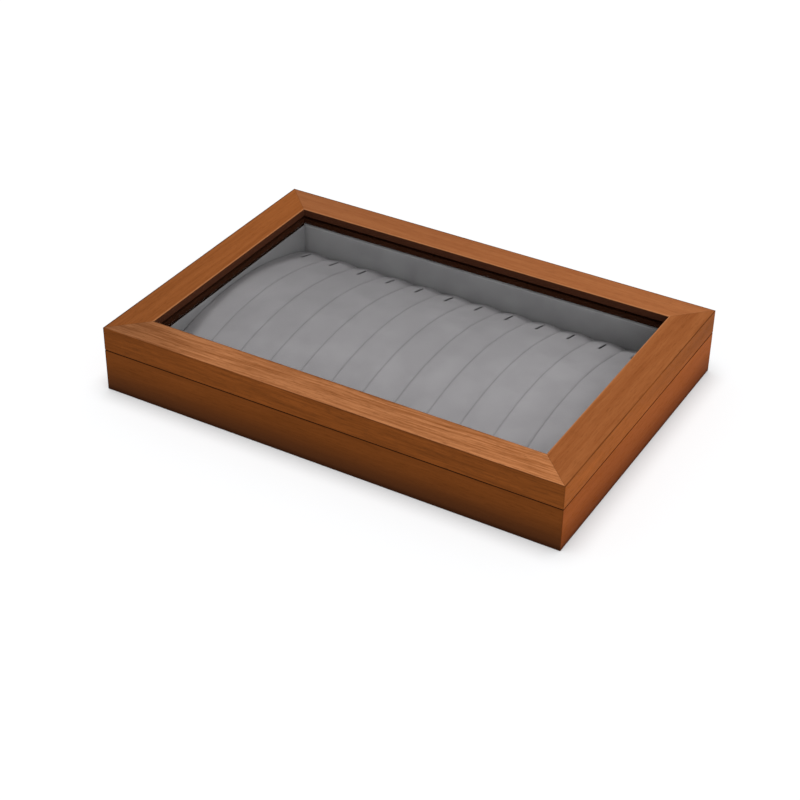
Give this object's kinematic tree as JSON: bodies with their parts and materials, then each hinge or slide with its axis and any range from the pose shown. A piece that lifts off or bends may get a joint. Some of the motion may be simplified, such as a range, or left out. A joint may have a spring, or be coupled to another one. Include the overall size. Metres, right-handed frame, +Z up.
{
  "type": "jewellery display box",
  "caption": "Flat stained-wood display box with a hinged, glazed lid and a velvet tray whose arched pad has lanes and slits for jewellery.",
  "frame": {"origin": "centre of the underside of the base, on the surface that the box stands on", "axes": "+X to the right along the long side, -Y to the front, +Y to the hinges, +Z up"},
  "size_m": [0.35, 0.246, 0.05],
  "materials": {
    "stained_wood": "satin brown stain over fine straight grain",
    "raw_wood": "unfinished",
    "grey_velvet": "short-pile grey velvet",
    "foam": "matt foam",
    "base_felt": "pressed felt",
    "clear_glass": "clear polished sheet",
    "brass": "satin",
    "steel": "plain"
  },
  "bodies": {
    "base": {"base_rail_front": "stained_wood", "base_rail_back": "stained_wood", "base_rail_left": "stained_wood", "base_rail_right": "stained_wood", "base_corner_keys": "raw_wood", "base_panel": "raw_wood", "base_felt": "base_felt", "tray_floor": "grey_velvet", "tray_wall_front": "grey_velvet", "tray_wall_back": "grey_velvet", "tray_wall_left": "grey_velvet", "tray_wall_right": "grey_velvet", "pad_foam": "foam", "pad_cover": "grey_velvet", "hinge_left_base_leaf": "brass", "hinge_right_base_leaf": "brass", "hinge_left_pin": "brass", "hinge_right_pin": "brass", "base_hinge_screws": "brass"},
    "lid": {"lid_rail_front": "stained_wood", "lid_rail_back": "stained_wood", "lid_rail_left": "stained_wood", "lid_rail_right": "stained_wood", "lid_corner_keys": "raw_wood", "glass_pane": "clear_glass", "glass_bead_front": "stained_wood", "glass_bead_back": "stained_wood", "glass_bead_left": "stained_wood", "glass_bead_right": "stained_wood", "bead_brads": "steel", "hinge_left_lid_leaf": "brass", "hinge_right_lid_leaf": "brass", "lid_hinge_screws": "brass"}
  },
  "joints": [
    {"name": "lid_hinge", "type": "hinge", "parent": "base", "child": "lid", "pos_m": [0, 0.1227, 0.032], "axis": [-1, 0, 0], "range_deg": [0, 100]}
  ]
}
